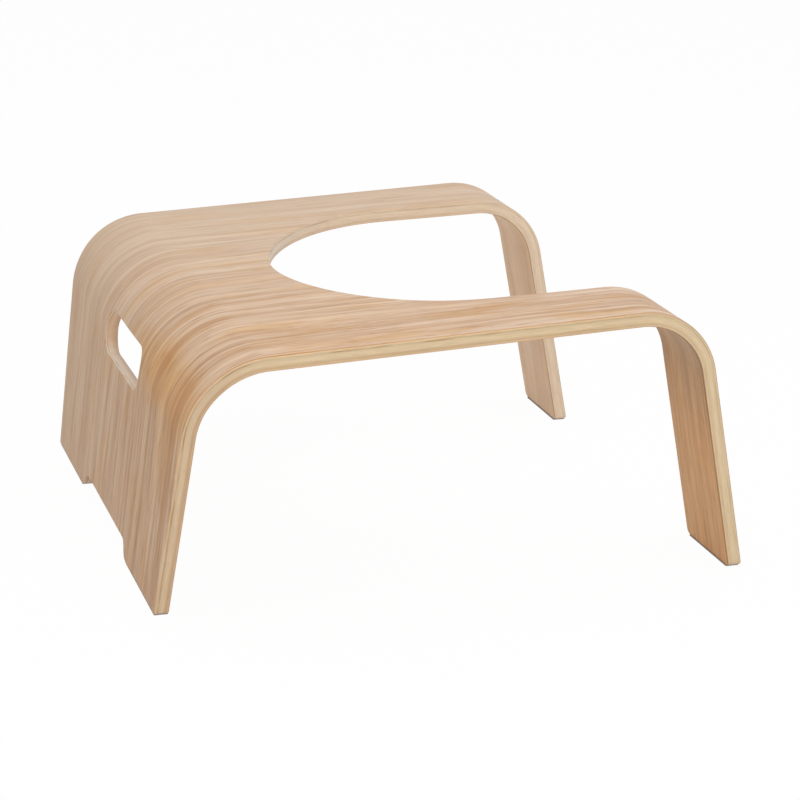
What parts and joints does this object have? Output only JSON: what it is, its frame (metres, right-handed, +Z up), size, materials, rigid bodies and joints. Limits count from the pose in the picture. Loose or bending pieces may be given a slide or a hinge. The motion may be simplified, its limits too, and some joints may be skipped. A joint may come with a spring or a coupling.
{
  "type": "bathroom bench",
  "caption": "Low bathroom foot bench of bent plywood: a closed panel with a hand hole and an arch, a sloping top with a large U-shaped bowl cut, and splayed legs on thin pads.",
  "frame": {"origin": "on the floor, under the middle of the bench's box", "axes": "+X across the bench, +Y from the closed panel towards the two open legs, +Z up"},
  "size_m": [0.442, 0.456, 0.209],
  "materials": {
    "outer_veneer": "satin",
    "inner_veneer": "satin",
    "long_ply": "satin",
    "cross_ply": "satin",
    "pad": "matte"
  },
  "bodies": {
    "root": {"outer_face_veneer": "outer_veneer", "core_ply_1": "cross_ply", "core_ply_2": "long_ply", "core_ply_3": "cross_ply", "core_ply_4": "long_ply", "core_ply_5": "cross_ply", "inner_face_veneer": "inner_veneer", "panel_pad_right": "pad", "panel_pad_left": "pad", "leg_pad_right": "pad", "leg_pad_left": "pad"}
  },
  "joints": []
}
